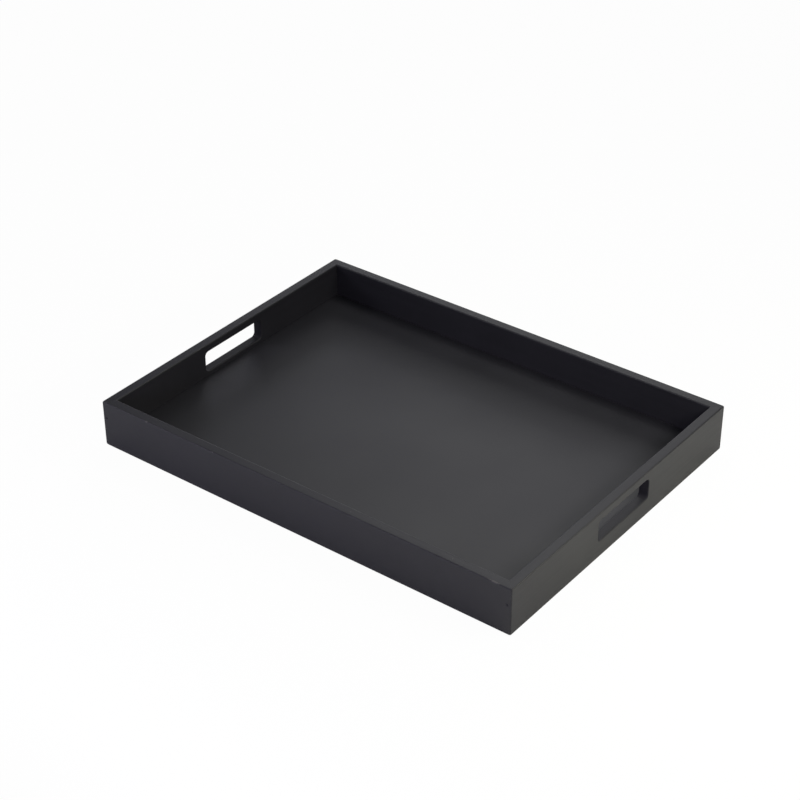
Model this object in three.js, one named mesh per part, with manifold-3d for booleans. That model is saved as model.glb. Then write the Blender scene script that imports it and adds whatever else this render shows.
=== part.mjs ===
// Butler tray: four mitred walls stand round a base panel that is housed in their grooves.
// Each end has a rounded hand slot, and panel pins driven through the long rails lock the corners.
// Millimetres, +Z up, +X along the tray. The origin is the tray's middle, on the surface it stands on.
import * as THREE from 'three';
import { mergeVertices } from 'three/addons/utils/BufferGeometryUtils.js';
import Module from 'manifold-3d';

const wasm = await Module();
wasm.setup();

// Tray
const trayLength = 440;
const trayWidth = 326;
const wallHeight = 46.5;
const wallThickness = 9.5;

// Rounded edges: along the rim, under the outside, under the inside and down the outer corners
const rimRadius = 1.2;
const footRadius = 2.5;
const innerFootRadius = 0.8;
const cornerRadius = 1;

// Base panel, and the groove that it is housed in
const floorHeight = 13;
const panelThickness = 6;
const grooveDepth = 4;
const grooveClearance = 0.3;

// Hand slots
const slotLength = 77;
const slotHeight = 20.5;
const slotRise = 17.8;
const slotCornerRadius = 4;
const slotEdgeRadius = 1.2;

// Corner joints: the glue line between two mitres, and the pins across it
const glueLine = 0.3;
const pinDiameter = 1.4;
const pinLength = 25;
const pinPointLength = 2.5;
const pinHeadDiameter = 2.6;
const pinHeadHeight = 1;
const pinSetDepth = 0.8;
const pinInset = 4;
const pinSpacing = 13.5;
const pinClearance = 0.3;

// Facets in a quarter of a circle, and how far a cutting solid runs past what it cuts
const quarterSteps = 4;
const overrun = 5;

// Finishes
const wallPaint = { color: 0x1c1c1e, roughness: 0.5, metalness: 0 };
const panelPaint = { color: 0x202022, roughness: 0.45, metalness: 0 };
const pinSteel = { color: 0x77777a, roughness: 0.4, metalness: 1 };

// Derived places
const quarterTurn = Math.PI / 2;
const grooveFloor = floorHeight - panelThickness - grooveClearance;
const grooveCeiling = floorHeight + grooveClearance;
const pinReach = trayLength / 2 - pinInset;
const pinHeights = { lower: (wallHeight - pinSpacing) / 2, upper: (wallHeight + pinSpacing) / 2 };

// A closed geometry as a solid that can be joined and cut.
function toSolid(geometry) {
  const bare = geometry.clone();
  bare.deleteAttribute('normal');
  bare.deleteAttribute('uv');
  const merged = mergeVertices(bare);
  const vertProperties = new Float32Array(merged.attributes.position.array);
  const triVerts = new Uint32Array(merged.index.array);
  return new wasm.Manifold(new wasm.Mesh({ numProp: 3, vertProperties, triVerts }));
}

// A finished solid as a geometry with flat faces.
function toGeometry(solid) {
  const { vertProperties, triVerts } = solid.getMesh();
  const geometry = new THREE.BufferGeometry();
  geometry.setAttribute('position', new THREE.BufferAttribute(new Float32Array(vertProperties), 3));
  geometry.setIndex(new THREE.BufferAttribute(new Uint32Array(triVerts), 1));
  const flat = geometry.toNonIndexed();
  flat.computeVertexNormals();
  return flat;
}

function namedMesh(name, geometry, finish) {
  const mesh = new THREE.Mesh(geometry, new THREE.MeshStandardMaterial(finish));
  mesh.name = name;
  return mesh;
}

// A wall's frame: X along the wall from its middle, Y inwards from its outer face, Z up.
// The profile's own x is the depth behind the outer face, and its y is the height.
function wallProfile() {
  const profile = new THREE.Shape();
  const grooveBack = wallThickness - grooveDepth;
  profile.moveTo(footRadius, 0);
  profile.lineTo(wallThickness - innerFootRadius, 0);
  profile.absarc(wallThickness - innerFootRadius, innerFootRadius, innerFootRadius, -quarterTurn, 0);
  profile.lineTo(wallThickness, grooveFloor);
  profile.lineTo(grooveBack, grooveFloor);
  profile.lineTo(grooveBack, grooveCeiling);
  profile.lineTo(wallThickness, grooveCeiling);
  profile.lineTo(wallThickness, wallHeight - rimRadius);
  profile.absarc(wallThickness - rimRadius, wallHeight - rimRadius, rimRadius, 0, quarterTurn);
  profile.lineTo(rimRadius, wallHeight);
  profile.absarc(rimRadius, wallHeight - rimRadius, rimRadius, quarterTurn, 2 * quarterTurn);
  profile.lineTo(0, footRadius);
  profile.absarc(footRadius, footRadius, footRadius, 2 * quarterTurn, 3 * quarterTurn);
  return profile;
}

// A wall from above: rounded at its outer corners, and set back from each mitre by half the glue line.
function wallPlan(length) {
  const plan = new THREE.Shape();
  const half = length / 2;
  const setBack = glueLine / Math.SQRT2;
  const arcCentre = half - cornerRadius;
  const arcEnd = Math.PI / 4 + Math.asin(glueLine / (2 * cornerRadius));
  plan.moveTo(-arcCentre, 0);
  plan.lineTo(arcCentre, 0);
  plan.absarc(arcCentre, cornerRadius, cornerRadius, -quarterTurn, -arcEnd);
  plan.lineTo(half - wallThickness - setBack, wallThickness);
  plan.lineTo(wallThickness + setBack - half, wallThickness);
  plan.absarc(-arcCentre, cornerRadius, cornerRadius, arcEnd - 2 * quarterTurn, -quarterTurn);
  return plan;
}

// The straight moulding, cut to a mitre at both ends.
function mitredWall(length) {
  const moulding = new THREE.ExtrudeGeometry(wallProfile(), {
    depth: length + 2 * overrun,
    bevelEnabled: false,
    curveSegments: quarterSteps,
  });
  moulding.translate(0, 0, -length / 2 - overrun);
  const across = new THREE.Vector3(0, 1, 0);
  const up = new THREE.Vector3(0, 0, 1);
  const along = new THREE.Vector3(1, 0, 0);
  moulding.applyMatrix4(new THREE.Matrix4().makeBasis(across, up, along));

  const mitres = new THREE.ExtrudeGeometry(wallPlan(length), {
    depth: wallHeight + 2 * overrun,
    bevelEnabled: false,
    curveSegments: quarterSteps,
  });
  mitres.translate(0, 0, -overrun);
  return toSolid(moulding).intersect(toSolid(mitres));
}

function roundedRectangle(width, height, radius) {
  const outline = new THREE.Path();
  const x = width / 2 - radius;
  const y = height / 2 - radius;
  outline.absarc(x, y, radius, 0, quarterTurn);
  outline.absarc(-x, y, radius, quarterTurn, 2 * quarterTurn);
  outline.absarc(-x, -y, radius, 2 * quarterTurn, 3 * quarterTurn);
  outline.absarc(x, -y, radius, 3 * quarterTurn, 4 * quarterTurn);
  outline.closePath();
  return outline;
}

// An oversized board, as thick as a wall, with the hand slot through it. Both faces of the slot are
// rounded over, so a wall that is trimmed to this board gets the slot with its soft edges.
function slottedBoard(length) {
  const slotMiddle = slotRise + slotHeight / 2;
  const reachX = length / 2 + overrun;
  const reachY = wallHeight + overrun;
  const board = new THREE.Shape();
  board.moveTo(-reachX, -reachY);
  board.lineTo(reachX, -reachY);
  board.lineTo(reachX, reachY);
  board.lineTo(-reachX, reachY);
  board.closePath();
  board.holes.push(roundedRectangle(slotLength, slotHeight, slotCornerRadius));
  const geometry = new THREE.ExtrudeGeometry(board, {
    depth: wallThickness - 2 * slotEdgeRadius,
    bevelThickness: slotEdgeRadius,
    bevelSize: slotEdgeRadius,
    bevelOffset: -slotEdgeRadius,
    bevelSegments: quarterSteps,
    curveSegments: quarterSteps,
  });
  geometry.translate(0, 0, slotEdgeRadius - wallThickness);
  geometry.rotateX(quarterTurn);
  geometry.translate(0, 0, slotMiddle);
  return toSolid(geometry);
}

// A pin stands on +Y with the top of its head at the origin, and its point away from it.
// Grown by a clearance, the same form is the hole for it, which then runs out past the head.
function pinForm(clearance, headTop) {
  const shank = pinDiameter / 2 + clearance;
  const head = pinHeadDiameter / 2 + clearance;
  const end = -pinLength - clearance;
  const outline = [
    new THREE.Vector2(0, end),
    new THREE.Vector2(shank, end + pinPointLength),
    new THREE.Vector2(shank, -pinHeadHeight - clearance),
    new THREE.Vector2(head, -pinHeadHeight / 2 - clearance),
    new THREE.Vector2(head, headTop),
    new THREE.Vector2(0, headTop),
  ];
  return new THREE.LatheGeometry(outline, 3 * quarterSteps);
}

// The hole for a pin that is driven along +Y through a face at y = 0.
function pinHole() {
  const hole = pinForm(pinClearance, pinSetDepth + overrun);
  hole.rotateZ(2 * quarterTurn);
  hole.translate(0, pinSetDepth, 0);
  return hole;
}

// A long rail is drilled through its face for each pin.
function railSolid() {
  let rail = mitredWall(trayLength);
  for (const x of [-pinReach, pinReach]) {
    for (const z of Object.values(pinHeights)) {
      rail = rail.subtract(toSolid(pinHole().translate(x, 0, z)));
    }
  }
  return rail;
}

// An end has the slot, and takes the pins along its length, through both of its mitres.
function endSolid() {
  let end = mitredWall(trayWidth).intersect(slottedBoard(trayWidth));
  for (const side of [-1, 1]) {
    for (const z of Object.values(pinHeights)) {
      const hole = pinHole().rotateZ(side * quarterTurn);
      hole.translate(side * trayWidth / 2, pinInset, z);
      end = end.subtract(toSolid(hole));
    }
  }
  return end;
}

// A rail with the pins that are driven through it, in the rail's own frame. Each corner is named as
// seen from the front of the tray, so ends gives the sign of the rail's own X at either end.
function pinnedRail(side, ends, geometry) {
  const group = new THREE.Group();
  group.add(namedMesh(`${side}_rail`, geometry, wallPaint));
  const pin = toGeometry(toSolid(pinForm(0, 0)));
  for (const [end, sign] of Object.entries(ends)) {
    for (const [level, z] of Object.entries(pinHeights)) {
      const mesh = namedMesh(`${side}_${end}_${level}_pin`, pin, pinSteel);
      mesh.position.set(sign * pinReach, pinSetDepth, z);
      mesh.rotation.z = 2 * quarterTurn;
      group.add(mesh);
    }
  }
  return group;
}

function basePanel() {
  const housed = 2 * (wallThickness - grooveDepth + grooveClearance);
  const panel = new THREE.BoxGeometry(trayLength - housed, trayWidth - housed, panelThickness);
  const mesh = namedMesh('base_panel', panel, panelPaint);
  mesh.position.z = floorHeight - panelThickness / 2;
  return mesh;
}

function butlerTray() {
  const tray = new THREE.Group();
  tray.add(basePanel());

  const rail = toGeometry(railSolid());
  const front = pinnedRail('front', { left: -1, right: 1 }, rail);
  front.position.y = -trayWidth / 2;
  tray.add(front);
  const back = pinnedRail('back', { left: 1, right: -1 }, rail);
  back.position.y = trayWidth / 2;
  back.rotation.z = 2 * quarterTurn;
  tray.add(back);

  const end = toGeometry(endSolid());
  const right = namedMesh('right_end', end, wallPaint);
  right.position.x = trayLength / 2;
  right.rotation.z = quarterTurn;
  tray.add(right);
  const left = namedMesh('left_end', end, wallPaint);
  left.position.x = -trayLength / 2;
  left.rotation.z = -quarterTurn;
  tray.add(left);
  return tray;
}

export default butlerTray();
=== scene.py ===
"""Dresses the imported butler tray: softened boards, satin black paint, panel pins, a pale studio.

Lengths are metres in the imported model's frame: +X along the tray, +Z up, and the table at z = 0.
"""

from __future__ import annotations

import logging
import math
from dataclasses import dataclass, field
from enum import Enum
from typing import Any, Sequence

import bmesh
import bpy
from bmesh.types import BMesh, BMEdge, BMVert
from mathutils import Matrix, Quaternion, Vector

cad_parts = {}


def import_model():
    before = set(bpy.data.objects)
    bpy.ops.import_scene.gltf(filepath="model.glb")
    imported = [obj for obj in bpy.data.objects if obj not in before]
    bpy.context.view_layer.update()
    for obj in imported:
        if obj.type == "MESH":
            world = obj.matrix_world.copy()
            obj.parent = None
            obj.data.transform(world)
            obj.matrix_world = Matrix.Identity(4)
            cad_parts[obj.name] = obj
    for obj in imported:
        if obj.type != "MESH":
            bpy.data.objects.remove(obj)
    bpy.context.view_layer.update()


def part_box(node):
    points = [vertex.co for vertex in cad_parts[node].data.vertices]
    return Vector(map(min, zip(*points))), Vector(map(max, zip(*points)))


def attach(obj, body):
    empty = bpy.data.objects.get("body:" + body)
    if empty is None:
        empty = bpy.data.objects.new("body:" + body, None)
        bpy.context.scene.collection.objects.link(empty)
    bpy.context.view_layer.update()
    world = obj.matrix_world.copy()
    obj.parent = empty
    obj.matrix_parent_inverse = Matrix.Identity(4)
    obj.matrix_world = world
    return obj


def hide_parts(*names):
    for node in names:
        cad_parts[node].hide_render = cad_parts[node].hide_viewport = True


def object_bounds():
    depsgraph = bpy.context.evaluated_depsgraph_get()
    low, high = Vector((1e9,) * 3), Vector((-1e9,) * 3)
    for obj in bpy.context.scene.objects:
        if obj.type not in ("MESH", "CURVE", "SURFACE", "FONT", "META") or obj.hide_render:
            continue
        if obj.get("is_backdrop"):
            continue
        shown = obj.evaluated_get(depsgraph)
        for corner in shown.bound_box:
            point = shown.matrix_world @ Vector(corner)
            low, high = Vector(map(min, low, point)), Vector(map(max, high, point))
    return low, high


Colour = tuple[float, float, float]
Point = tuple[float, float, float]
Range = tuple[float, float]
Socket = bpy.types.NodeSocket

LOG = logging.getLogger("butler_tray")
BODY = "root"
WEAR = "arris_wear"
THIRSTY = "thirsty_wood"
COVER = "paint_cover"
MM = 0.001
QUARTER = math.pi / 2
MITRE = QUARTER / 2
FULL_TURN = 2 * math.pi
DIAGONAL = math.sqrt(2)
SMOOTH_ANGLE = math.radians(35)
ROUND_PROFILE = 0.5
UNIT: Range = (0.0, 1.0)
WHITE: Colour = (1.0, 1.0, 1.0)


class Grain(Enum):
    """Which way a board's grain runs, as the turn about Z that brings it onto the pattern's X."""

    ALONG_TRAY = 0.0
    ACROSS_TRAY = QUARTER


class Detail(Enum):
    """How many finer layers a noise has."""

    SOFT = 2.0
    CLOUDY = 3.0
    FIBROUS = 4.0


class WallSide(Enum):
    """The four walls: the CAD node that each stands for, and its turn about the tray's middle."""

    FRONT = ("front_rail", 0.0)
    RIGHT = ("right_end", QUARTER)
    BACK = ("back_rail", math.pi)
    LEFT = ("left_end", -QUARTER)

    @property
    def node(self) -> str:
        """The CAD node's name."""
        return self.value[0]

    @property
    def turn(self) -> float:
        """The turn from the wall's own frame, in radians."""
        return self.value[1]

    @property
    def is_rail(self) -> bool:
        """Whether this is one of the two long walls."""
        return self in (WallSide.FRONT, WallSide.BACK)


class Slot(Enum):
    """The record's material slots."""

    WALL_PAINT = "wall_paint"
    PANEL_PAINT = "panel_paint"
    PIN_STEEL = "pin_steel"


class NodeGraph:
    """A node tree, with short calls that add a node, set it and join its inputs."""

    def __init__(self, tree: bpy.types.NodeTree) -> None:
        """Empties the tree.

        Args:
            tree: The node tree of a material, a world or a Geometry Nodes group.
        """
        self.tree = tree
        self.tree.nodes.clear()

    @staticmethod
    def socket(sockets: Sequence[Socket], key: str | int) -> Socket:
        """Finds a socket.

        Args:
            sockets: A node's inputs or outputs.
            key: The socket's number, its identifier, or its name.

        Returns:
            The socket.
        """
        if isinstance(key, int):
            return sockets[key]
        for candidate in sockets:
            if candidate.identifier == key:
                return candidate
        return sockets[key]

    def add(
        self, kind: str, inputs: dict[str | int, Any] | None = None, **settings: Any
    ) -> bpy.types.Node:
        """Adds a node.

        Args:
            kind: The node's type name.
            inputs: A value for each input that is set, or the output socket that it is joined to.
            settings: The node's own properties.

        Returns:
            The new node.
        """
        node = self.tree.nodes.new(kind)
        for name, value in settings.items():
            setattr(node, name, value)
        for key, value in (inputs or {}).items():
            target = self.socket(node.inputs, key)
            if isinstance(value, Socket):
                self.tree.links.new(value, target)
            else:
                target.default_value = value
        return node

    def out(self, node: bpy.types.Node, key: str | int = 0) -> Socket:
        """One of a node's outputs."""
        return self.socket(node.outputs, key)

    def coordinates(self) -> Socket:
        """The piece's own coordinates."""
        return self.out(self.add("ShaderNodeTexCoord"), "Object")

    def attribute(self, name: str) -> Socket:
        """One of the piece's vertex attributes."""
        return self.out(self.add("ShaderNodeAttribute", attribute_name=name), "Fac")

    def math(self, operation: str, first: Any, second: Any = 0.0, clamp: bool = False) -> Socket:
        """Adds a Math node.

        Args:
            operation: What the node does.
            first: A number or a socket.
            second: A number or a socket.
            clamp: Whether the result is held between 0 and 1.

        Returns:
            The result's socket.
        """
        settings = {"operation": operation, "use_clamp": clamp}
        return self.out(self.add("ShaderNodeMath", {0: first, 1: second}, **settings))

    def plus(self, base: Socket, value: Socket, factor: float, clamp: bool = False) -> Socket:
        """Adds a multiple of one value, which may be negative, to another."""
        return self.math("ADD", base, self.math("MULTIPLY", value, factor), clamp)

    def ramp(self, value: Socket, span: Range, results: Range = UNIT) -> Socket:
        """Maps a value smoothly from one range to another, held at both ends.

        Args:
            value: The socket that is mapped.
            span: The values that give the first and the second result.
            results: The two results.

        Returns:
            The result's socket.
        """
        inputs: dict[str | int, Any] = {"Value": value}
        inputs["From Min"], inputs["From Max"] = span
        inputs["To Min"], inputs["To Max"] = results
        node = self.add("ShaderNodeMapRange", inputs, interpolation_type="SMOOTHSTEP")
        return self.out(node, "Result")

    def blend(self, factor: Socket, first: Any, second: Any) -> Socket:
        """Mixes two colours.

        Args:
            factor: The share of the second colour.
            first: A colour or a socket.
            second: A colour or a socket.

        Returns:
            The mixed colour's socket.
        """
        inputs = {"Factor_Float": factor, "A_Color": first, "B_Color": second}
        node = self.add("ShaderNodeMix", inputs, data_type="RGBA")
        return self.out(node, "Result_Color")

    def bump(self, height: Socket, distance: float, strength: float) -> Socket:
        """Turns a height into a relief of the surface."""
        inputs = {"Height": height, "Distance": distance, "Strength": strength}
        return self.out(self.add("ShaderNodeBump", inputs))

    def dress(self, inputs: dict[str | int, Any]) -> None:
        """Ends a material with the shader that has these inputs."""
        shader = self.add("ShaderNodeBsdfPrincipled", inputs)
        self.add("ShaderNodeOutputMaterial", {"Surface": self.out(shader)})


def rgba(colour: Colour) -> tuple[float, float, float, float]:
    """A linear colour with full opacity."""
    return (*colour, 1.0)


def new_material(name: str) -> tuple[bpy.types.Material, NodeGraph]:
    """Makes an empty node material.

    Args:
        name: The material's name.

    Returns:
        The material and its node graph.
    """
    material = bpy.data.materials.new(name)
    material.use_nodes = True
    return material, NodeGraph(material.node_tree)


@dataclass(frozen=True)
class Knock:
    """A spot where paint is knocked off: its middle, its reach along each axis, how bare it is."""

    middle: Point
    reach: Point
    bareness: float


FRONT_KNOCKS = (
    Knock((-166.5 * MM, -162.6 * MM, 46.1 * MM), (2.0 * MM, 1.4 * MM, 1.4 * MM), 0.6),
    Knock((203.0 * MM, -162.3 * MM, 46.5 * MM), (8.0 * MM, 1.3 * MM, 0.9 * MM), 0.65),
)


@dataclass(frozen=True)
class PaintFinish:
    """Satin paint on a board: the wood reads through it faintly, and it rubs pale on the arrises.

    The paint is nearly black, so most of what shows is its sheen. Its roughness drifts over the
    board, the grain and the stipple of the roller are a fine relief, a few nibs of dust are caught
    in it, and the arris_wear attribute, which is 1 along the middle of each rounded edge, lets bare
    wood through. On the walls, the routed wood of a slot and the stopping over a sunk pin drink the
    paint and dry dull, as far as the thirsty_wood attribute says. Heights are shares of the relief.
    """

    name: str
    grain: Grain
    dark: Colour = (0.0106, 0.0102, 0.0142)
    pale: Colour = (0.0130, 0.0125, 0.0174)
    shade_span: Range = (0.35, 0.65)
    bare: Colour = (0.098, 0.092, 0.093)
    roughness: float = 0.49
    drift: float = 0.04
    drift_span: Range = (0.3, 0.7)
    sheen: float = 0.47
    ior: float = 1.45
    relief: float = 0.05 * MM
    relief_strength: float = 0.25
    cloud_size: float = 110 * MM
    grain_show: float = 1.0
    grain_share: float = 0.4
    grain_length: float = 120 * MM
    grain_width: float = 2.2 * MM
    grain_height: float = 0.5
    pore_length: float = 14 * MM
    pore_width: float = 0.45 * MM
    pore_span: Range = (0.60, 0.72)
    pore_depth: float = 0.5
    stipple_size: float = 0.9 * MM
    stipple_height: float = 0.45
    nib_spacing: float = 26 * MM
    nib_share: float = 0.6
    nib_radius: float = 0.45 * MM
    nib_crown: float = 0.4
    nib_height: float = 3.0
    nib_bareness: float = 0.5
    rub_size: float = 7 * MM
    rub_span: Range = (0.77, 0.83)
    rub_depth: float = 0.8
    rub_roughness: float = 0.15
    arris_pull: float = 0.12
    arris_span: Range = (0.1, 0.6)
    knocks: tuple[Knock, ...] = ()
    knock_span: Range = (1.6, 1.1)
    ragged_size: float = 1.1 * MM
    ragged_reach: float = 1.4
    has_thirsty_wood: bool = False
    thirsty_roughness: float = 0.3
    thirsty_sheen: float = 0.35

    def material(self) -> bpy.types.Material:
        """Builds the finish.

        Returns:
            The material.
        """
        material, graph = new_material(self.name)
        place = graph.coordinates()
        turn = (0, 0, -self.grain.value)
        along = graph.out(graph.add("ShaderNodeMapping", {"Vector": place, "Rotation": turn}))

        cloud = self._noise(graph, along, Detail.CLOUDY, self.cloud_size)
        streak = self._noise(graph, along, Detail.FIBROUS, self.grain_length, self.grain_width)
        fibre = self._noise(graph, along, Detail.FIBROUS, self.pore_length, self.pore_width)
        pores = graph.ramp(fibre, self.pore_span)
        stipple = self._noise(graph, place, Detail.SOFT, self.stipple_size)
        nib = self._nibs(graph, place)
        rubbed = self._rubbed(graph, place)

        grain = self.grain_share * self.grain_show
        shade = graph.plus(graph.math("MULTIPLY", cloud, 1 - grain), streak, grain)
        colour = graph.blend(graph.ramp(shade, self.shade_span), rgba(self.dark), rgba(self.pale))
        pale_nib = graph.math("MULTIPLY", nib, self.nib_bareness)
        colour = graph.blend(pale_nib, colour, rgba(self.bare))
        colour = graph.blend(rubbed, colour, rgba(self.bare))

        drifting = (self.roughness - self.drift, self.roughness + self.drift)
        roughness = graph.ramp(shade, self.drift_span, drifting)
        roughness = graph.plus(roughness, rubbed, self.rub_roughness, clamp=True)
        sheen: float | Socket = self.sheen
        if self.has_thirsty_wood:
            thirst = graph.attribute(THIRSTY)
            roughness = graph.plus(roughness, thirst, self.thirsty_roughness, clamp=True)
            sheen = graph.ramp(thirst, UNIT, (self.sheen, self.sheen * self.thirsty_sheen))

        height = graph.math("MULTIPLY", streak, self.grain_height * self.grain_show)
        height = graph.plus(height, stipple, self.stipple_height)
        height = graph.plus(height, pores, -self.pore_depth * self.grain_show)
        height = graph.plus(height, nib, self.nib_height)
        height = graph.plus(height, rubbed, -self.rub_depth)
        graph.dress(
            {
                "Base Color": colour,
                "Roughness": roughness,
                "IOR": self.ior,
                "Specular IOR Level": sheen,
                "Normal": graph.bump(height, self.relief, self.relief_strength),
            }
        )
        return material

    def _noise(
        self,
        graph: NodeGraph,
        place: Socket,
        detail: Detail,
        length: float,
        width: float | None = None,
    ) -> Socket:
        """Adds a noise, which is drawn out along X where it has a width of its own.

        Args:
            graph: The material's node graph.
            place: The coordinates that it reads.
            detail: How many finer layers it has.
            length: How long its features are.
            width: How wide they are, if not the same.

        Returns:
            The noise, from 0 to 1.
        """
        across = 1 / (width or length)
        scale = (1 / length, across, across)
        mapped = graph.out(graph.add("ShaderNodeMapping", {"Vector": place, "Scale": scale}))
        inputs = {"Vector": mapped, "Scale": 1.0, "Detail": detail.value}
        return graph.out(graph.add("ShaderNodeTexNoise", inputs), "Fac")

    def _nibs(self, graph: NodeGraph, place: Socket) -> Socket:
        """Adds the scattered nibs of dust.

        Args:
            graph: The material's node graph.
            place: The coordinates that they are scattered over.

        Returns:
            A mask that is 1 on a nib.
        """
        cells = graph.add("ShaderNodeTexVoronoi", {"Vector": place, "Scale": 1 / self.nib_spacing})
        radius = self.nib_radius / self.nib_spacing
        dot = graph.ramp(graph.out(cells, "Distance"), (radius, self.nib_crown * radius))
        split = graph.add("ShaderNodeSeparateColor", {"Color": graph.out(cells, "Color")})
        chosen = graph.math("LESS_THAN", graph.out(split), self.nib_share)
        return graph.math("MULTIPLY", dot, chosen)

    def _rubbed(self, graph: NodeGraph, place: Socket) -> Socket:
        """Adds the short stretches of arris where the paint is rubbed through, and the knocks.

        Args:
            graph: The material's node graph.
            place: The coordinates that the stretches are scattered over.

        Returns:
            A mask that is 1 on bare wood.
        """
        arris = graph.attribute(WEAR)
        patches = self._noise(graph, place, Detail.FIBROUS, self.rub_size)
        mask = graph.ramp(graph.plus(patches, arris, self.arris_pull), self.rub_span)
        mask = graph.math("MULTIPLY", mask, graph.ramp(arris, self.arris_span))
        for knock in self.knocks:
            mask = graph.math("MAXIMUM", mask, self._knocked(graph, place, knock))
        return mask

    def _knocked(self, graph: NodeGraph, place: Socket, knock: Knock) -> Socket:
        """Adds one knock, with a ragged edge.

        Args:
            graph: The material's node graph.
            place: The coordinates that it lies in.
            knock: Its middle, its reach and how bare it is.

        Returns:
            A mask that is 1 on bare wood.
        """
        inputs = {"Vector": place, "Location": knock.middle, "Scale": knock.reach}
        centred = graph.add("ShaderNodeMapping", inputs, vector_type="TEXTURE")
        away = graph.add("ShaderNodeVectorMath", {0: graph.out(centred)}, operation="LENGTH")
        ragged = self._noise(graph, place, Detail.SOFT, self.ragged_size)
        edge = graph.plus(graph.out(away, "Value"), ragged, self.ragged_reach)
        return graph.math("MULTIPLY", graph.ramp(edge, self.knock_span), knock.bareness)


@dataclass(frozen=True)
class PinFinish:
    """A drawn steel pin with spots of rust, and the tray's paint over the top of its head."""

    name: str = "panel_pin_steel"
    steel: Colour = (0.30, 0.30, 0.31)
    rust: Colour = (0.16, 0.10, 0.07)
    paint: Colour = (0.0095, 0.0093, 0.0115)
    roughness: float = 0.38
    paint_roughness: float = 0.55
    spot_size: float = 1.1 * MM
    spot_roughness: float = 0.15
    rust_span: Range = (0.48, 0.68)
    relief: float = 0.05 * MM
    relief_strength: float = 0.4

    def material(self) -> bpy.types.Material:
        """Builds the finish.

        Returns:
            The material.
        """
        material, graph = new_material(self.name)
        place = graph.coordinates()
        cover = graph.attribute(COVER)
        inputs = {"Vector": place, "Scale": 1 / self.spot_size, "Detail": Detail.FIBROUS.value}
        spots = graph.out(graph.add("ShaderNodeTexNoise", inputs), "Fac")

        metal = graph.blend(graph.ramp(spots, self.rust_span), rgba(self.steel), rgba(self.rust))
        roughness = graph.ramp(cover, UNIT, (self.roughness, self.paint_roughness))
        graph.dress(
            {
                "Base Color": graph.blend(cover, metal, rgba(self.paint)),
                "Metallic": graph.math("SUBTRACT", 1.0, cover),
                "Roughness": graph.plus(roughness, spots, self.spot_roughness),
                "Normal": graph.bump(spots, self.relief, self.relief_strength),
            }
        )
        return material


def arc(steps: int) -> list[float]:
    """The angles of a quarter circle.

    Args:
        steps: How many facets the quarter has.

    Returns:
        The angles, from 0 to a quarter turn.
    """
    return [QUARTER * step / steps for step in range(steps + 1)]


def circle(radius: float, steps: int) -> list[tuple[float, float]]:
    """The points of a circle.

    Args:
        radius: Its radius.
        steps: How many points it has.

    Returns:
        The points, across the circle's axis.
    """
    angles = [FULL_TURN * step / steps for step in range(steps)]
    return [(radius * math.cos(angle), radius * math.sin(angle)) for angle in angles]


def join_rings(bm: BMesh, rings: Sequence[Sequence[BMVert]]) -> None:
    """Closes the band between each ring and the next with quads.

    Args:
        bm: The mesh.
        rings: Rings of vertices, all in the same order.
    """
    for first, second in zip(rings, rings[1:]):
        for index, vertex in enumerate(first):
            following = (index + 1) % len(first)
            bm.faces.new((vertex, first[following], second[following], second[index]))


def close_at_tip(bm: BMesh, ring: Sequence[BMVert], tip: BMVert) -> None:
    """Closes a ring with triangles that meet at a tip."""
    for index, vertex in enumerate(ring):
        bm.faces.new((vertex, ring[(index + 1) % len(ring)], tip))


def ring_edges(bm: BMesh, ring: Sequence[BMVert]) -> list[BMEdge]:
    """The edges round a ring of vertices, made where they are missing.

    Args:
        bm: The mesh.
        ring: The vertices, in order.

    Returns:
        The edges.
    """
    edges = []
    for index, vertex in enumerate(ring):
        pair = (vertex, ring[(index + 1) % len(ring)])
        edges.append(bm.edges.get(pair) or bm.edges.new(pair))
    return edges


def new_mesh(name: str, bm: BMesh, material: bpy.types.Material) -> bpy.types.Mesh:
    """Stores a mesh under construction.

    Args:
        name: The mesh's name.
        bm: The mesh under construction, which is freed.
        material: Its finish.

    Returns:
        The stored mesh.
    """
    mesh = bpy.data.meshes.new(name)
    bm.to_mesh(mesh)
    bm.free()
    mesh.materials.append(material)
    return mesh


def new_object(name: str, data: bpy.types.ID) -> bpy.types.Object:
    """Makes an object and links it to the scene.

    Args:
        name: The object's name.
        data: Its mesh, lamp or camera.

    Returns:
        The object, at the origin.
    """
    made = bpy.data.objects.new(name, data)
    bpy.context.scene.collection.objects.link(made)
    return made


def aimed(place: Point, target: Point) -> Quaternion:
    """The turn that points a lamp or a camera at its target."""
    return (Vector(target) - Vector(place)).to_track_quat("-Z", "Y")


def finished_object(
    name: str, bm: BMesh, place: Matrix, material: bpy.types.Material
) -> bpy.types.Object:
    """Turns a closed mesh into a smooth-shaded object whose place is in its vertices.

    Args:
        name: The object's name.
        bm: The mesh, which is freed.
        place: Where the mesh goes in the tray's frame.
        material: Its finish.

    Returns:
        The object, at the origin.
    """
    bmesh.ops.recalc_face_normals(bm, faces=bm.faces)
    bmesh.ops.transform(bm, matrix=place, verts=bm.verts)
    mesh = new_mesh(name, bm, material)
    mesh.shade_smooth()
    mesh.set_sharp_from_angle(angle=SMOOTH_ANGLE)
    piece = new_object(name, mesh)
    flats = piece.modifiers.new("flat_faces_lead", "WEIGHTED_NORMAL")
    flats.keep_sharp = True
    return settled(piece)


def settled(piece: bpy.types.Object) -> bpy.types.Object:
    """Replaces an object's mesh by what its modifiers make of it, and removes them.

    Args:
        piece: The object.

    Returns:
        The same object, with a plain mesh.
    """
    graph = bpy.context.evaluated_depsgraph_get()
    mesh = bpy.data.meshes.new_from_object(piece.evaluated_get(graph), depsgraph=graph)
    piece.modifiers.clear()
    piece.data = mesh
    mesh.name = piece.name
    return piece


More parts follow.
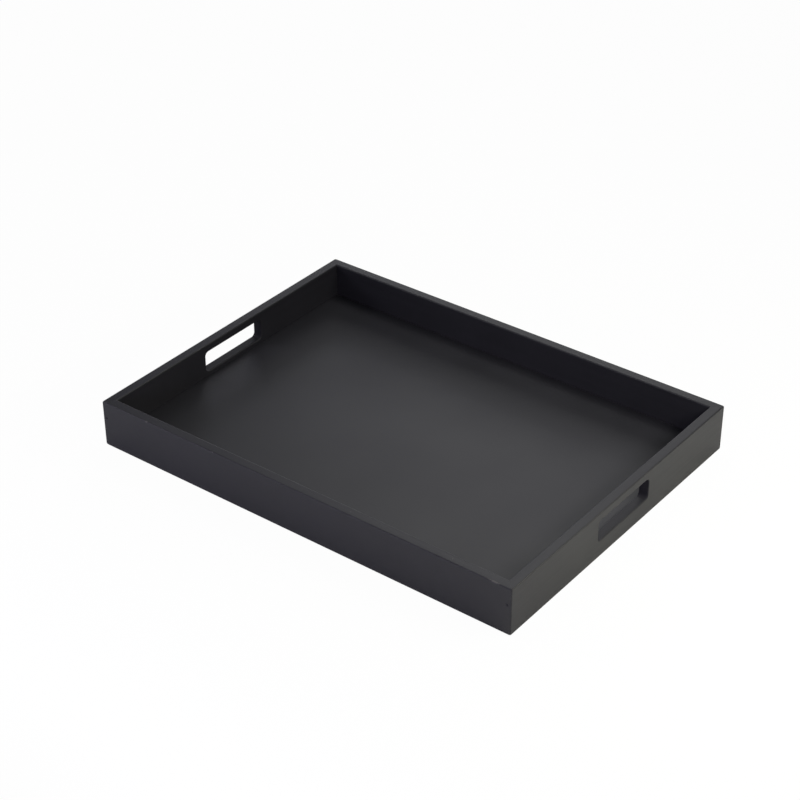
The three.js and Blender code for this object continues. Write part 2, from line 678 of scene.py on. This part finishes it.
def hand_over(piece: bpy.types.Object, nodes: Sequence[str]) -> None:
    """Ties a finished piece to the frame.

    Args:
        piece: The piece.
        nodes: The CAD nodes that it stands for.
    """
    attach(piece, BODY)
    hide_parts(*nodes)
    LOG.info("%s: %d faces, for %s", piece.name, len(piece.data.polygons), ", ".join(nodes))


@dataclass(frozen=True)
class TraySizes:
    """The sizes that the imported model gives."""

    length: float
    width: float
    height: float
    wall: float
    floor_top: float
    floor_under: float

    @classmethod
    def from_frame(cls) -> TraySizes:
        """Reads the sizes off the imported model.

        Returns:
            The sizes.
        """
        low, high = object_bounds()
        end_low, end_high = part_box(WallSide.RIGHT.node)
        panel_low, panel_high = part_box("base_panel")
        return cls(
            length=high.x - low.x,
            width=high.y - low.y,
            height=high.z - low.z,
            wall=end_high.x - end_low.x,
            floor_top=panel_high.z,
            floor_under=panel_low.z,
        )


@dataclass(frozen=True)
class PinSizes:
    """A panel pin and where it sits, in the frame of the rail that it is driven through."""

    reach: float
    heights: tuple[float, float]
    head_top: float
    length: float
    head_radius: float
    shank_radius: float = 0.7 * MM
    head_height: float = 1.0 * MM
    point_length: float = 2.5 * MM
    clearance: float = 0.15 * MM

    @classmethod
    def from_frame(cls, sizes: TraySizes) -> PinSizes:
        """Reads two of the front rail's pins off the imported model.

        Args:
            sizes: The tray's sizes.

        Returns:
            The sizes.
        """
        low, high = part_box("front_right_lower_pin")
        upper_low, upper_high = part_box("front_right_upper_pin")
        return cls(
            reach=(low.x + high.x) / 2,
            heights=((low.z + high.z) / 2, (upper_low.z + upper_high.z) / 2),
            head_top=low.y + sizes.width / 2,
            length=high.y - low.y,
            head_radius=(high.x - low.x) / 2,
        )


@dataclass(frozen=True)
class EdgeSoftness:
    """How the boards' arrises are eased before the paint goes on.

    An outer corner's radius grows by corner_spread for each length that the face is drawn in.
    """

    rim: float = 1.2 * MM
    foot: float = 2.5 * MM
    inner_foot: float = 0.8 * MM
    corner: float = 1.0 * MM
    corner_spread: float = 1.2
    steps: int = 6


@dataclass(frozen=True)
class HandSlot:
    """The rounded hand slot through an end, with both of its faces rounded over.

    Its long grain drinks less of the paint than its end grain, whose thirst is 1.
    """

    length: float = 77 * MM
    height: float = 20.5 * MM
    rise: float = 17.8 * MM
    corner: float = 4 * MM
    edge: float = 1.2 * MM
    long_grain_thirst: float = 0.32
    corner_steps: int = 10
    edge_steps: int = 6

    def ring(self, grown: float) -> list[tuple[float, float, float]]:
        """The slot's outline.

        Args:
            grown: How far it is moved outwards.

        Returns:
            For each point, its place along the wall and up it, and its share of end grain.
        """
        points = []
        radius = self.corner + grown
        middle = self.rise + self.height / 2
        for quadrant, (side, level) in enumerate(((1, 1), (-1, 1), (-1, -1), (1, -1))):
            centre_x = side * (self.length / 2 - self.corner)
            centre_z = middle + level * (self.height / 2 - self.corner)
            for angle in arc(self.corner_steps):
                turned = quadrant * QUARTER + angle
                across, up = math.cos(turned), math.sin(turned)
                points.append((centre_x + radius * across, centre_z + radius * up, abs(across)))
        return points

    def section(self, thickness: float) -> list[tuple[float, float, float]]:
        """The rounded-over edge, through the wall.

        Args:
            thickness: The wall's thickness.

        Returns:
            For each ring, its depth behind the outer face, how far it is grown, and how far it
            lies inside the routed slot, from 0 to 1.
        """
        near, far = [], []
        for angle in arc(self.edge_steps):
            depth = self.edge * (1 - math.cos(angle))
            grown = self.edge * (1 - math.sin(angle))
            near.append((depth, grown, math.sin(angle)))
            far.append((thickness - depth, grown, math.sin(angle)))
        return near + far[::-1]


@dataclass(frozen=True)
class Slice:
    """A wall at one height: how far its two faces are drawn in, and how worn they are."""

    z: float
    outer: float
    inner: float
    outer_wear: float = 0.0
    inner_wear: float = 0.0


@dataclass
class Wall:
    """A mitred board of the tray's frame, grooved for the base panel.

    Its own frame has X along it from its middle, Y inwards from its outer face and Z up. It is
    built as a stack of slices, each a plan of the board at one height, so that the corners can be
    blunter at the foot than halfway up, as a sanded corner is.
    """

    side: WallSide
    sizes: TraySizes
    pins: PinSizes
    finish: bpy.types.Material
    edges: EdgeSoftness = field(default_factory=EdgeSoftness)
    slot: HandSlot | None = None
    seam: float = 0.05 * MM
    groove_depth: float = 4 * MM
    groove_clearance: float = 0.08 * MM
    dish_radius: float = 2.3 * MM
    dish_depths: tuple[float, float] = (0.06 * MM, 0.5 * MM)
    dish_rings: tuple[float, ...] = (1.0, 0.8, 0.6, 0.4, 0.2)
    stopping_thirst: float = 0.7
    corner_steps: int = 6
    bore_steps: int = 20
    half: float = field(init=False)
    setback: float = field(init=False)
    place: Matrix = field(init=False)

    def __post_init__(self) -> None:
        """Works out how long the wall is and where it stands."""
        run, reach = self.sizes.length, self.sizes.width
        if not self.side.is_rail:
            run, reach = reach, run
        self.half = run / 2
        self.setback = self.seam / DIAGONAL
        outwards = Matrix.Translation((0, -reach / 2, 0))
        self.place = Matrix.Rotation(self.side.turn, 4, "Z") @ outwards

    def build(self) -> bpy.types.Object:
        """Makes the wall and ties it to the frame.

        Returns:
            The finished piece.
        """
        bm = bmesh.new()
        bm.verts.layers.float.new(WEAR)
        bm.verts.layers.float.new(THIRSTY)
        slices = self._slices()
        rings = [self._ring(bm, each) for each in slices]
        ceiling = max(i for i, each in enumerate(slices) if each.z <= self._ceiling())
        for index, (lower, upper) in enumerate(zip(rings, rings[1:])):
            if index == ceiling:
                self._open_band(bm, lower, upper)
            else:
                join_rings(bm, (lower, upper))
        bm.faces.new(rings[0])
        bm.faces.new(rings[-1])
        piece = finished_object(f"{self.side.node}_board", bm, self.place, self.finish)
        hand_over(piece, [self.side.node])
        return piece

    def _ceiling(self) -> float:
        """The height of the groove's upper face."""
        return self.sizes.floor_top + self.groove_clearance

    def _slices(self) -> list[Slice]:
        """The slices that the wall is stacked from.

        Returns:
            The slices, from the foot to the rim.
        """
        edges, top = self.edges, self.sizes.height
        angles = arc(edges.steps)
        foot_levels = {edges.foot * (1 - math.cos(a)) for a in angles}
        foot_levels |= {edges.inner_foot * (1 - math.cos(a)) for a in angles}
        slices = [self._foot_slice(z) for z in sorted(foot_levels)]

        deep = self.groove_depth
        bottom, ceiling = self.sizes.floor_under - self.groove_clearance, self._ceiling()
        groove = ((bottom, 0.0), (bottom, deep), (ceiling, deep), (ceiling, 0.0))
        slices += [Slice(z, 0.0, inner) for z, inner in groove]
        for angle in angles:
            inset, wear = edges.rim * (1 - math.cos(angle)), math.sin(2 * angle)
            slices.append(Slice(top - edges.rim * (1 - math.sin(angle)), inset, inset, wear, wear))
        return slices

    def _foot_slice(self, z: float) -> Slice:
        """A slice through the rounded foot.

        Args:
            z: Its height.

        Returns:
            The slice.
        """
        drawn = []
        for radius in (self.edges.foot, self.edges.inner_foot):
            below = max(radius - z, 0.0)
            angle = math.asin(min(below / radius, 1.0))
            drawn.append((radius * (1 - math.cos(angle)), math.sin(2 * angle)))
        (outer, outer_wear), (inner, inner_wear) = drawn
        return Slice(z, outer, inner, outer_wear, inner_wear)

    def _ring(self, bm: BMesh, level: Slice) -> list[BMVert]:
        """One slice's outline: the left corner, the right corner, then the inner face.

        Args:
            bm: The mesh.
            level: The slice.

        Returns:
            The outline's vertices, with the inner face's from right to left.
        """
        radius = self.edges.corner + self.edges.corner_spread * level.outer
        reach = self.half - level.outer - radius
        depth = level.outer + radius
        mitre = MITRE - math.asin(self.setback / (radius * DIAGONAL))
        corner = []
        for step in range(self.corner_steps + 1):
            angle = mitre * step / self.corner_steps
            across, back = radius * math.sin(angle), radius * math.cos(angle)
            wear = max(level.outer_wear, math.sin(2 * angle))
            corner.append((reach + across, depth - back, wear))
        inner_depth = self.sizes.wall - level.inner
        inner_reach = self.half - inner_depth - self.setback
        outline = [(-x, y, wear) for x, y, wear in reversed(corner)] + corner
        outline += [(x, inner_depth, level.inner_wear) for x in (inner_reach, -inner_reach)]
        return [self._vertex(bm, (x, y, level.z), wear) for x, y, wear in outline]

    def _vertex(self, bm: BMesh, point: Point, wear: float = 0.0, thirst: float = 0.0) -> BMVert:
        """Adds a vertex with its attributes.

        Args:
            bm: The mesh.
            point: The vertex's place.
            wear: Its share of arris.
            thirst: How far it drinks the paint.

        Returns:
            The vertex.
        """
        vertex = bm.verts.new(point)
        vertex[bm.verts.layers.float[WEAR]] = wear
        vertex[bm.verts.layers.float[THIRSTY]] = thirst
        return vertex

    def _open_band(self, bm: BMesh, lower: list[BMVert], upper: list[BMVert]) -> None:
        """Closes the band above the groove, round the slot, the dishes and the pins' bores.

        Args:
            bm: The mesh.
            lower: The ring at the groove's upper face.
            upper: The ring at the foot of the rim's rounding.
        """
        # A ring's sides are numbered by the vertex that each starts from.
        outer, right = self.corner_steps, 2 * self.corner_steps + 1
        inner, left = right + 1, right + 2
        holes: dict[int, list[list[BMVert]]] = {side: [] for side in (outer, right, inner, left)}
        if self.slot:
            for side, ring in zip((outer, inner), self._slot_rings(bm, self.slot)):
                holes[side].append(ring)
        for sign, mitre in ((1, right), (-1, left)):
            for z, sunk in zip(self.pins.heights, self.dish_depths):
                holes[mitre].append(self._bore(bm, sign, z))
                if self.side.is_rail:
                    holes[outer].append(self._dish(bm, sign * self.pins.reach, z, sunk))
        for index in range(len(lower)):
            following = (index + 1) % len(lower)
            corners = (lower[index], lower[following], upper[following], upper[index])
            if holes.get(index):
                edges = [edge for ring in (corners, *holes[index]) for edge in ring_edges(bm, ring)]
                bmesh.ops.triangle_fill(bm, edges=edges, use_beauty=True, use_dissolve=False)
            else:
                bm.faces.new(corners)

    def _slot_rings(self, bm: BMesh, slot: HandSlot) -> tuple[list[BMVert], list[BMVert]]:
        """Makes the slot's own surface.

        Args:
            bm: The mesh.
            slot: The slot.

        Returns:
            The rings where it meets the outer and the inner face.
        """
        rings = []
        for depth, grown, routed in slot.section(self.sizes.wall):
            ring = []
            for x, z, end_grain in slot.ring(grown):
                thirst = slot.long_grain_thirst + (1 - slot.long_grain_thirst) * end_grain
                ring.append(self._vertex(bm, (x, depth, z), thirst=routed * thirst))
            rings.append(ring)
        join_rings(bm, rings)
        return rings[0], rings[-1]

    def _dish(self, bm: BMesh, x: float, z: float, sunk: float) -> list[BMVert]:
        """Makes the shallow dish where a pin's hole is stopped and painted over.

        Args:
            bm: The mesh.
            x: Its place along the wall.
            z: Its height.
            sunk: How deep its middle is.

        Returns:
            The ring on the outer face.
        """
        rings = []
        for share in self.dish_rings:
            depth = sunk * (1 + math.cos(math.pi * share)) / 2
            points = circle(share * self.dish_radius, self.bore_steps)
            rings.append([self._stopped(bm, (x + a, depth, z + b)) for a, b in points])
        join_rings(bm, rings)
        close_at_tip(bm, rings[-1], self._stopped(bm, (x, sunk, z)))
        return rings[0]

    def _stopped(self, bm: BMesh, point: Point) -> BMVert:
        """Adds a vertex of the stopping, which is the thirstier the deeper it lies."""
        thirst = self.stopping_thirst * point[1] / max(self.dish_depths)
        return self._vertex(bm, point, thirst=thirst)

    def _bore(self, bm: BMesh, sign: int, z: float) -> list[BMVert]:
        """Makes one pin's bore: from a rail's mitre to under the stopping, or into an end's mitre.

        Args:
            bm: The mesh.
            sign: Which end of the wall it is at.
            z: Its height.

        Returns:
            The ring on the mitre.
        """
        pins = self.pins
        shank, head = pins.shank_radius + pins.clearance, pins.head_radius + pins.clearance
        mitre = self.half - self.setback
        narrow, wide = circle(shank, self.bore_steps), circle(head, self.bore_steps)
        if self.side.is_rail:
            x = sign * pins.reach
            shoulder = pins.head_top + pins.head_height + pins.clearance
            under_head = shoulder - pins.head_height / 2
            sections = ((shoulder, narrow), (under_head, wide), (pins.head_top, wide))
            outlines = [[(x + a, mitre - sign * (x + a), z + b) for a, b in narrow]]
            outlines += [[(x + a, y, z + b) for a, b in points] for y, points in sections]
            tip = (x, pins.head_top - pins.clearance, z)
        else:
            y = self.sizes.length / 2 - pins.reach
            end = self.half - pins.head_top - pins.length - pins.clearance
            floor = sign * (end + pins.point_length)
            outlines = [[(sign * (mitre - (y + a)), y + a, z + b) for a, b in narrow]]
            outlines += [[(floor, y + a, z + b) for a, b in narrow]]
            tip = (sign * end, y, z)
        rings = [[self._vertex(bm, point) for point in outline] for outline in outlines]
        join_rings(bm, rings)
        close_at_tip(bm, rings[-1], self._vertex(bm, tip))
        return rings[0]


@dataclass
class BasePanel:
    """The board that forms the tray's floor, its edges eased to slip into the walls' grooves."""

    finish: bpy.types.Material
    easing: float = 0.6 * MM
    easing_steps: int = 3

    def build(self) -> bpy.types.Object:
        """Makes the panel and ties it to the frame.

        Returns:
            The finished piece.
        """
        low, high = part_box("base_panel")
        bm = bmesh.new()
        bm.verts.layers.float.new(WEAR)
        bmesh.ops.create_cube(bm, size=1.0)
        size, middle = high - low, (low + high) / 2
        bmesh.ops.scale(bm, vec=size, verts=bm.verts)
        bmesh.ops.bevel(
            bm,
            geom=bm.edges,
            offset=self.easing,
            segments=self.easing_steps,
            profile=ROUND_PROFILE,
            affect="EDGES",
        )
        piece = finished_object("base_panel_board", bm, Matrix.Translation(middle), self.finish)
        hand_over(piece, ["base_panel"])
        return piece


@dataclass
class CornerPins:
    """The eight panel pins that lock the mitres, laid out by Geometry Nodes from one turned pin.

    The crown and the brim of its head are shares of the head's radius and height.
    """

    sizes: TraySizes
    pins: PinSizes
    finish: bpy.types.Material
    rails: tuple[str, str] = ("front", "back")
    ends: tuple[str, str] = ("left", "right")
    levels: tuple[str, str] = ("lower", "upper")
    crown: float = 0.85
    brim: float = 0.2
    brim_cover: float = 0.3
    steps: int = 16
    seed: int = 7

    def build(self) -> bpy.types.Object:
        """Makes the pins and ties them to the frame.

        Returns:
            The finished piece.
        """
        piece = finished_object("corner_pins", self._pin(), Matrix.Identity(4), self.finish)
        tree = self._layout()
        layout = piece.modifiers.new("corner_layout", "NODES")
        layout.node_group = tree
        lower, upper = self.pins.heights
        values = {
            "Along": 2 * self.pins.reach,
            "Across": self.sizes.width - 2 * self.pins.head_top,
            "Lowest": lower,
            "Spacing": upper - lower,
            "Seed": self.seed,
            "Finish": self.finish,
        }
        for item in tree.interface.items_tree:
            if item.name in values and item.in_out == "INPUT":
                layout[item.identifier] = values[item.name]
        settled(piece)
        corners = [f"{rail}_{end}" for rail in self.rails for end in self.ends]
        names = [f"{corner}_{level}_pin" for corner in corners for level in self.levels]
        hand_over(piece, names)
        return piece

    def _pin(self) -> BMesh:
        """One pin, turned about Y, with the top of its head at the origin and its point along +Y.

        Returns:
            The pin's mesh.
        """
        pins = self.pins
        profile = [
            (self.crown * pins.head_radius, 0.0, 1.0),
            (pins.head_radius, self.brim * pins.head_height, 1.0),
            (pins.head_radius, pins.head_height / 2, self.brim_cover),
            (pins.shank_radius, pins.head_height, 0.0),
            (pins.shank_radius, pins.length - pins.point_length, 0.0),
        ]
        bm = bmesh.new()
        cover = bm.verts.layers.float.new(COVER)
        rings = []
        for radius, depth, painted in profile:
            ring = [bm.verts.new((a, depth, b)) for a, b in circle(radius, self.steps)]
            for vertex in ring:
                vertex[cover] = painted
            rings.append(ring)
        join_rings(bm, rings)
        bm.faces.new(rings[0])
        close_at_tip(bm, rings[-1], bm.verts.new((0, pins.length, 0)))
        return bm

    def _layout(self) -> bpy.types.NodeTree:
        """The node group that sets a pin at two heights through each end of both rails.

        Returns:
            The node group.
        """
        tree = bpy.data.node_groups.new("corner_pin_layout", "GeometryNodeTree")
        graph = NodeGraph(tree)
        face = tree.interface
        face.new_socket("Geometry", in_out="OUTPUT", socket_type="NodeSocketGeometry")
        face.new_socket("Geometry", in_out="INPUT", socket_type="NodeSocketGeometry")
        for name in ("Along", "Across", "Lowest", "Spacing"):
            face.new_socket(name, in_out="INPUT", socket_type="NodeSocketFloat")
        face.new_socket("Seed", in_out="INPUT", socket_type="NodeSocketInt")
        face.new_socket("Finish", in_out="INPUT", socket_type="NodeSocketMaterial")
        given = graph.add("NodeGroupInput").outputs

        inputs = {"Size X": given["Along"], "Size Y": given["Across"]}
        inputs |= {"Vertices X": len(self.ends), "Vertices Y": len(self.rails)}
        corners = graph.add("GeometryNodeMeshGrid", inputs)
        start = graph.add("ShaderNodeCombineXYZ", {"Z": given["Lowest"]})
        rise = graph.add("ShaderNodeCombineXYZ", {"Z": given["Spacing"]})
        inputs = {"Start Location": graph.out(start), "Offset": graph.out(rise)}
        levels = graph.add("GeometryNodeMeshLine", inputs | {"Count": len(self.levels)})
        inputs = {"Points": graph.out(levels), "Instance": graph.out(corners)}
        stacked = graph.add("GeometryNodeInstanceOnPoints", inputs)
        places = graph.add("GeometryNodeRealizeInstances", {"Geometry": graph.out(stacked)})

        position = graph.out(graph.add("GeometryNodeInputPosition"))
        split = graph.add("ShaderNodeSeparateXYZ", {"Vector": position})
        at_back = graph.math("GREATER_THAN", graph.out(split, "Y"), 0.0)
        facing = graph.math("MULTIPLY", at_back, math.pi)
        inputs = {"Max_001": FULL_TURN, "Seed": given["Seed"]}
        spin = graph.add("FunctionNodeRandomValue", inputs, data_type="FLOAT")
        turn = graph.add("ShaderNodeCombineXYZ", {"Y": graph.out(spin, "Value_001"), "Z": facing})
        turned = graph.add("FunctionNodeEulerToRotation", {"Euler": graph.out(turn)})
        inputs = {"Points": graph.out(places), "Instance": given["Geometry"]}
        inputs["Rotation"] = graph.out(turned)
        driven = graph.add("GeometryNodeInstanceOnPoints", inputs)
        solid = graph.add("GeometryNodeRealizeInstances", {"Geometry": graph.out(driven)})
        inputs = {"Geometry": graph.out(solid), "Material": given["Finish"]}
        dressed = graph.add("GeometryNodeSetMaterial", inputs)
        graph.add("NodeGroupOutput", {0: graph.out(dressed)})
        return tree


@dataclass(frozen=True)
class Lamp:
    """A soft lamp: a rectangle that shines at the tray."""

    name: str
    place: Point
    size: tuple[float, float]
    power: float
    tint: Colour = WHITE


@dataclass
class Studio:
    """A pale floor, an even pale surround and a few soft lamps."""

    floor_reach: float = 9.0
    floor_steps: int = 96
    floor_drop: float = 0.02 * MM
    floor_colour: Colour = (0.90, 0.90, 0.90)
    floor_whiteness: float = 0.97
    mirrored_whiteness: float = 0.03
    mottle_scale: float = 6.0
    mottle_dimming: float = 0.985
    surround: Colour = (0.8, 0.8, 0.82)
    surround_strength: float = 0.03
    target: Point = (0.0, 0.0, 0.02)
    lamps: tuple[Lamp, ...] = (
        Lamp("high_back_softbox", (-0.98, 2.00, 1.29), (1.2, 0.9), 4.25, (0.99, 0.99, 1.02)),
        Lamp("low_back_softbox", (-1.09, 2.23, 0.67), (1.2, 0.6), 5.2),
        Lamp("low_left_softbox", (-1.51, 1.51, 0.53), (0.7, 0.7), 1.65, (0.95, 0.95, 1.09)),
        Lamp("left_softbox", (-1.89, -0.51, 1.00), (0.7, 0.7), 11.3, (0.98, 0.99, 1.02)),
        Lamp("high_left_softbox", (-0.60, 0.40, 1.00), (0.6, 0.4), 0.42, (0.97, 0.98, 1.05)),
        Lamp("near_back_softbox", (-0.15, 0.38, 0.90), (0.3, 0.3), 1.70, (1.00, 1.02, 0.98)),
        Lamp("front_strip", (-0.05, -0.50, 0.16), (0.9, 0.10), 1.20, (0.96, 0.92, 1.12)),
        Lamp("right_strip", (0.52, 0.05, 0.34), (0.6, 0.12), 2.76, (1.05, 1.04, 0.91)),
    )

    def build(self) -> None:
        """Makes the floor, the surround and the lamps."""
        self._floor()
        self._surround()
        for lamp in self.lamps:
            self._lamp(lamp)
            LOG.info("%s: %.1f W", lamp.name, lamp.power)

    def _floor(self) -> None:
        """Makes the floor."""
        bm = bmesh.new()
        bmesh.ops.create_circle(
            bm, cap_ends=True, segments=self.floor_steps, radius=self.floor_reach
        )
        bmesh.ops.translate(bm, vec=(0, 0, -self.floor_drop), verts=bm.verts)
        mesh = new_mesh("studio_floor", bm, self._floor_finish())
        floor = new_object("studio_floor", mesh)
        floor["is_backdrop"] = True

    def _floor_finish(self) -> bpy.types.Material:
        """The floor's finish: white to the eye, faint in the tray's sheen, and clear from below.

        Returns:
            The material, which keeps a little of the tray's shadow.
        """
        material, graph = new_material("studio_floor")
        place = graph.coordinates()
        inputs = {"Vector": place, "Scale": self.mottle_scale, "Detail": Detail.SOFT.value}
        mottle = graph.out(graph.add("ShaderNodeTexNoise", inputs), "Fac")
        dim = tuple(self.mottle_dimming * part for part in self.floor_colour)
        colour = graph.blend(mottle, rgba(dim), rgba(self.floor_colour))
        matt = graph.out(graph.add("ShaderNodeBsdfDiffuse", {"Color": colour}))
        glow = {"Color": rgba(WHITE), "Strength": 1.0}
        white = graph.out(graph.add("ShaderNodeEmission", glow))

        path = graph.add("ShaderNodeLightPath")
        through = graph.out(path, "Is Transmission Ray")
        seen = graph.math("MAXIMUM", graph.out(path, "Is Camera Ray"), through)
        seen = graph.math("MULTIPLY", seen, self.floor_whiteness)
        mirrored = graph.out(path, "Is Glossy Ray")
        mirrored = graph.math("MULTIPLY", mirrored, self.mirrored_whiteness)
        share = graph.math("MAXIMUM", seen, mirrored)
        top = graph.out(graph.add("ShaderNodeMixShader", {0: share, 1: matt, 2: white}))
        below = graph.out(graph.add("ShaderNodeBsdfTransparent"))
        facing = graph.out(graph.add("ShaderNodeNewGeometry"), "Backfacing")
        both = graph.out(graph.add("ShaderNodeMixShader", {0: facing, 1: top, 2: below}))
        graph.add("ShaderNodeOutputMaterial", {"Surface": both})
        return material

    def _surround(self) -> None:
        """Makes the even light of the room."""
        world = bpy.data.worlds.new("studio_surround")
        world.use_nodes = True
        graph = NodeGraph(world.node_tree)
        inputs = {"Color": rgba(self.surround), "Strength": self.surround_strength}
        room = graph.add("ShaderNodeBackground", inputs)
        graph.add("ShaderNodeOutputWorld", {"Surface": graph.out(room)})
        bpy.context.scene.world = world

    def _lamp(self, lamp: Lamp) -> None:
        """Makes one soft lamp.

        Args:
            lamp: Its place, size, power and tint.
        """
        data = bpy.data.lights.new(lamp.name, "AREA")
        data.shape = "RECTANGLE"
        data.size, data.size_y = lamp.size
        data.energy = lamp.power
        data.color = lamp.tint
        light = new_object(lamp.name, data)
        light.location = lamp.place
        light.rotation_euler = aimed(lamp.place, self.target).to_euler()


@dataclass(frozen=True)
class PhotoCamera:
    """The photograph's viewpoint, with its middle at the image's middle."""

    place: Point = (0.88588, -1.1659, 1.00197)
    target: Point = (-0.03231, 0.02388, 0.025)
    roll: float = math.radians(-0.1968)
    lens: float = 89.45
    sensor: float = 36.0
    clip: Range = (0.05, 50.0)

    def build(self) -> None:
        """Makes the camera and gives it to the scene."""
        data = bpy.data.cameras.new("photo_camera")
        data.lens = self.lens
        data.sensor_width = self.sensor
        data.clip_start, data.clip_end = self.clip
        camera = new_object("photo_camera", data)
        camera.location = self.place
        look = aimed(self.place, self.target).to_matrix()
        camera.rotation_euler = (look @ Matrix.Rotation(self.roll, 3, "Z")).to_euler()
        bpy.context.scene.camera = camera


def main() -> None:
    """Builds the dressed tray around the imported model."""
    logging.basicConfig(level=logging.INFO, format="%(name)s: %(message)s")
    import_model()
    bpy.context.scene.view_settings.view_transform = "Standard"
    sizes = TraySizes.from_frame()
    pins = PinSizes.from_frame(sizes)

    rail_paint = PaintFinish(
        "rail_paint", Grain.ALONG_TRAY, knocks=FRONT_KNOCKS, has_thirsty_wood=True
    ).material()
    end_paint = PaintFinish("end_paint", Grain.ACROSS_TRAY, has_thirsty_wood=True).material()
    panel_paint = PaintFinish(
        "panel_paint", Grain.ALONG_TRAY, grain_show=0.25, sheen=0.56, relief_strength=0.12
    ).material()
    for side in WallSide:
        paint = rail_paint if side.is_rail else end_paint
        slot = None if side.is_rail else HandSlot()
        Wall(side, sizes, pins, paint, slot=slot).build()
    BasePanel(panel_paint).build()
    CornerPins(sizes, pins, PinFinish().material()).build()

    Studio().build()
    PhotoCamera().build()


if __name__ == "__main__":
    main()
